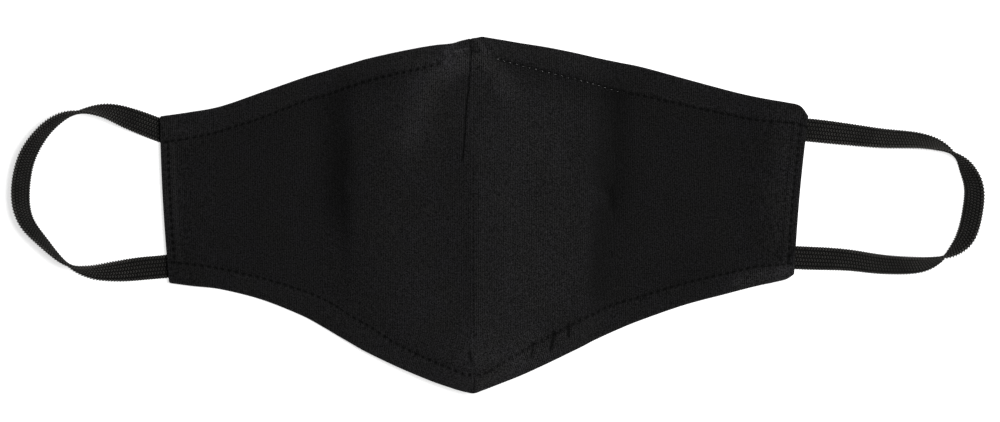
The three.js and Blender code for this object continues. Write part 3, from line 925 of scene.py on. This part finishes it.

# %% [markdown]
# ## Knitted elastic
# The ear loops are flat weft knitted elastic: a tape of lengthwise ribs, each a column of V-shaped
# loops of soft textured yarn round rubber threads. The tape is a thin ribbed band, and each loop is
# two short fat strands that Geometry Nodes copies onto every course of every rib, on both faces.
# The loops of the outer ribs stand past the edge, which gives the tape its fine saw-toothed sides.
# Covered rubber is nearly black and shows as dark gaps, and its dark colour is also painted shade
# in the gaps between the loops. The yarn is matt and greyer. Its painted lightness is painted light
# and shade: painted highlights make it lightest along the edges, and painted shade makes it
# darkest on the tape's other face.

# %% Elastic yarn
# The rubber's near-black colour is partly painted shade for the gaps between the loops.
core, tree, shader = new_material("black_covered_rubber_and_gap_shade")
place = add(tree, "ShaderNodeTexCoord")
depth = add(tree, "ShaderNodeTexNoise", {"Vector": place.outputs["Object"], "Scale": 900.0})
colour = add(tree, "ShaderNodeMix", {"Factor": depth.outputs[0]}, data_type="RGBA")
colour.inputs[6].default_value = linear("#020202")
colour.inputs[7].default_value = linear("#1b1b1a")
tree.links.new(colour.outputs[2], shader.inputs["Base Color"])
shader.inputs["Roughness"].default_value = 0.9
shader.inputs["Specular IOR Level"].default_value = 0.05

yarn, tree, shader = new_material("knitted_elastic_yarn")
place = add(tree, "ShaderNodeTexCoord")
fuzz = add(tree, "ShaderNodeTexNoise",
           {"Vector": place.outputs["Object"], "Scale": 2500.0, "Detail": 3.0})
patch = add(tree, "ShaderNodeTexNoise", {"Vector": place.outputs["Object"], "Scale": 120.0})
mixed = add(tree, "ShaderNodeMath", {0: patch.outputs[0], 1: 0.6, 2: fuzz.outputs[0]},
            operation="MULTIPLY_ADD")
shade = add(tree, "ShaderNodeMapRange",
            {"Value": mixed.outputs[0], 1: 0.45, 2: 1.15, 3: 0.0, 4: 0.7})
# Painted light and shade: the painted lightness scales the yarn's colour.
painted_lightness = add(tree, "ShaderNodeAttribute", attribute_name="painted_lightness")
yarn_tone_and_painted_light = times(tree, shade.outputs[0], painted_lightness.outputs["Fac"])
colour = add(tree, "ShaderNodeMix", {"Factor": yarn_tone_and_painted_light}, data_type="RGBA")
colour.inputs[6].default_value = linear("#1b1b1a")
colour.inputs[7].default_value = linear("#575552")
bump = add(tree, "ShaderNodeBump", {"Height": fuzz.outputs[0], "Distance": 0.08 * MM})
tree.links.new(colour.outputs[2], shader.inputs["Base Color"])
tree.links.new(bump.outputs[0], shader.inputs["Normal"])
shader.inputs["Roughness"].default_value = 0.85
shader.inputs["Specular IOR Level"].default_value = 0.15

# %% The loop tree
LEG_LEAN = 38
loop_tree, given = new_tree("knit_loop", ("Leg length", "Leg thickness", "Leg spread"))
size = add(loop_tree, "ShaderNodeCombineXYZ",
           {0: given["Leg length"], 1: given["Leg thickness"], 2: given["Leg thickness"]})
ball = add(loop_tree, "GeometryNodeMeshUVSphere", {"Segments": 4, "Rings": 3, "Radius": 0.5})
legs = []
for turn in (-1, 1):
    aside = times(loop_tree, given["Leg spread"], 0.5 * turn)
    shift = add(loop_tree, "ShaderNodeCombineXYZ", {1: aside})
    leg = add(loop_tree, "GeometryNodeTransform",
              {0: ball.outputs[0], "Translation": shift.outputs[0],
               "Rotation": (0.0, 0.0, math.radians(LEG_LEAN) * turn), "Scale": size.outputs[0]})
    legs.append(leg.outputs[0])
pair = add(loop_tree, "GeometryNodeJoinGeometry")
for leg in legs:
    loop_tree.links.new(leg, pair.inputs[0])
set_copies(loop_tree, given, pair.outputs[0])

# %% The two ear loops
RIBS = 6
RIB_STEPS = 4
BAND_WIDTH = 8.8
BAND_HALF = 0.42
BAND_EDGE_HALF = 0.12
LOOP_HEIGHT = 0.40
EDGE_RIB_SHIFT = 0.12
RIB_LAG = 0.4
EDGE_INSET = 0.3
# Painted light: the edge loops and the last rib are painted lighter as painted highlights, and the
# loops on the tape's other face are painted darker as painted shade.
EDGE_PAINTED_LIGHT = 1.4
LAST_RIB_PAINTED_LIGHT = 1.5
FACE_PAINTED_LIGHT = {1: 1.0, -1: 0.7}
rib_width = (TAPE_WIDTH - 0.5) / RIBS


def tape_band(side, tape):
    """The ribbed band as a closed mesh along the tape's path."""
    strips = np.linspace(-0.5, 0.5, RIBS * RIB_STEPS + 1)
    tops, bottoms = [], []
    for share in strips:
        strip = {name: values[::2] for name, values in tape_at(tape, share * BAND_WIDTH).items()}
        half = BAND_HALF * (0.7 + 0.3 * abs(math.sin(math.pi * RIBS * share)))
        if abs(share) == 0.5:
            half = BAND_EDGE_HALF
        tops.append(strip["place"] + half * strip["face"])
        bottoms.append(strip["place"] - half * strip["face"])
    rings = np.stack(tops + bottoms[::-1], axis=1)
    if side == "left":
        rings = rings[:, ::-1]
    count, corners = rings.shape[:2]
    index = np.arange(count * corners).reshape(count, corners)
    ahead = np.roll(index, -1, axis=1)
    quads = np.stack([index[:-1], ahead[:-1], ahead[1:], index[1:]], axis=-1)
    ends = [index[0][::-1].tolist(), index[-1].tolist()]
    band = mesh_object(f"ear_elastic_band_{side}", rings.reshape(-1, 3),
                       quads.reshape(-1, 4).tolist() + ends)
    band.data.materials.append(core)
    return band


def loop_places(tape):
    """A place for a loop at each course of each rib, on both faces of the tape."""
    places, along, face, painted_lightness = [], [], [], []
    for rib in range(RIBS):
        aside = (rib - (RIBS - 1) / 2) * rib_width
        if rib in (0, RIBS - 1):
            aside += math.copysign(EDGE_RIB_SHIFT, aside)
        strip = tape_at(tape, aside)
        course_step = np.gradient(strip["place"], axis=0)
        strip["place"] = strip["place"] + course_step * (rib * RIB_LAG % 1)
        for out in (1, -1):
            places.append(strip["place"] + out * LOOP_HEIGHT * strip["face"])
            along.append(strip["along"])
            face.append(strip["face"] * out)
            # Each loop carries its painted highlight or painted shade.
            fluff_and_painted_light = LAST_RIB_PAINTED_LIGHT if rib == RIBS - 1 else FACE_PAINTED_LIGHT[out]
            painted_lightness.append(np.full_like(strip["place"], fluff_and_painted_light))
    for out in (1, -1):
        strip = tape_at(tape, out * (TAPE_WIDTH / 2 - EDGE_INSET))
        places.append(strip["place"])
        along.append(strip["along"])
        face.append(strip["across"] * out)
        painted_lightness.append(np.full_like(strip["place"], EDGE_PAINTED_LIGHT))
    return np.concatenate(places), {"along": np.concatenate(along), "face": np.concatenate(face),
                                    "painted_lightness": np.concatenate(painted_lightness)}


elastic = {}
for side, tape in tapes.items():
    band = tape_band(side, tape)
    places, directions = loop_places(tape)
    source = mesh_object(f"loop_places_{side}", places, [], directions)
    loops = grow(f"ear_elastic_loops_{side}", source, loop_tree, {
        "Leg length": 1.25 * MM, "Leg thickness": 0.42 * MM, "Leg spread": 0.48 * MM,
        "Material": yarn})
    elastic[side] = (band, loops)
    print(side, "band volume", round(measure(band)[0]), "mm3;", len(places), "loops,",
          len(loops.data.polygons), "faces")

# %% [markdown]
# ## Table and light
# Black cloth on a white table is a hard pair to light: the cloth needs a soft light from above that
# rakes a little, so that its folds and ribs show, while the table stays clean white round it. A
# table that glows a little, as a light table does, keeps grey shadows off the background.

# %% Table
table_mesh = bpy.data.meshes.new("white_table")
TABLE_HALF = 30.0
TABLE_TOP = -0.1 * MM
table_corners = [(x * TABLE_HALF, y * TABLE_HALF, TABLE_TOP)
                 for x, y in ((-1, -1), (1, -1), (1, 1), (-1, 1))]
table_mesh.from_pydata(table_corners, [], [(0, 1, 2, 3)])
table = bpy.data.objects.new("white_table", table_mesh)
bpy.context.scene.collection.objects.link(table)
laminate, tree, shader = new_material("matt_white_laminate")
shader.inputs["Base Color"].default_value = linear("#f4f4f4")
shader.inputs["Roughness"].default_value = 0.7
shader.inputs["Specular IOR Level"].default_value = 0.2
shader.inputs["Emission Color"].default_value = (1, 1, 1, 1)
shader.inputs["Emission Strength"].default_value = 0.6
table_mesh.materials.append(laminate)

# %% Lights
LIGHT_COLUMNS = ("name", "place", "size", "power")
LIGHTS = [
    ("overhead_softbox", (0.45, 0.12, 1.35), 0.6, 17.0),
]
for light in LIGHTS:
    values = dict(zip(LIGHT_COLUMNS, light))
    data = bpy.data.lights.new(values["name"], "AREA")
    data.size = values["size"]
    data.energy = values["power"]
    lamp = bpy.data.objects.new(values["name"], data)
    lamp.location = values["place"]
    lamp.rotation_euler = Vector(values["place"]).to_track_quat("Z", "Y").to_euler()
    lamp.visible_camera = False
    bpy.context.scene.collection.objects.link(lamp)
world = bpy.data.worlds.new("studio")
world.use_nodes = True
background = world.node_tree.nodes["Background"]
background.inputs["Color"].default_value = linear("#fafafa")
background.inputs["Strength"].default_value = 0.22
bpy.context.scene.world = world
bpy.context.scene.view_settings.view_transform = "Standard"

# %% [markdown]
# ## Saying what each piece is
# Everything here is one still body. The cloth and the two bands stand for the three solids of the
# imported model.

# %% Bodies, and the imported solids hidden
for piece in (cloth, stitches, *elastic["left"], *elastic["right"]):
    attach(piece, "root")
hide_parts("mask_shell")
for side, pair in elastic.items():
    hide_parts(f"ear_loop_{side}")
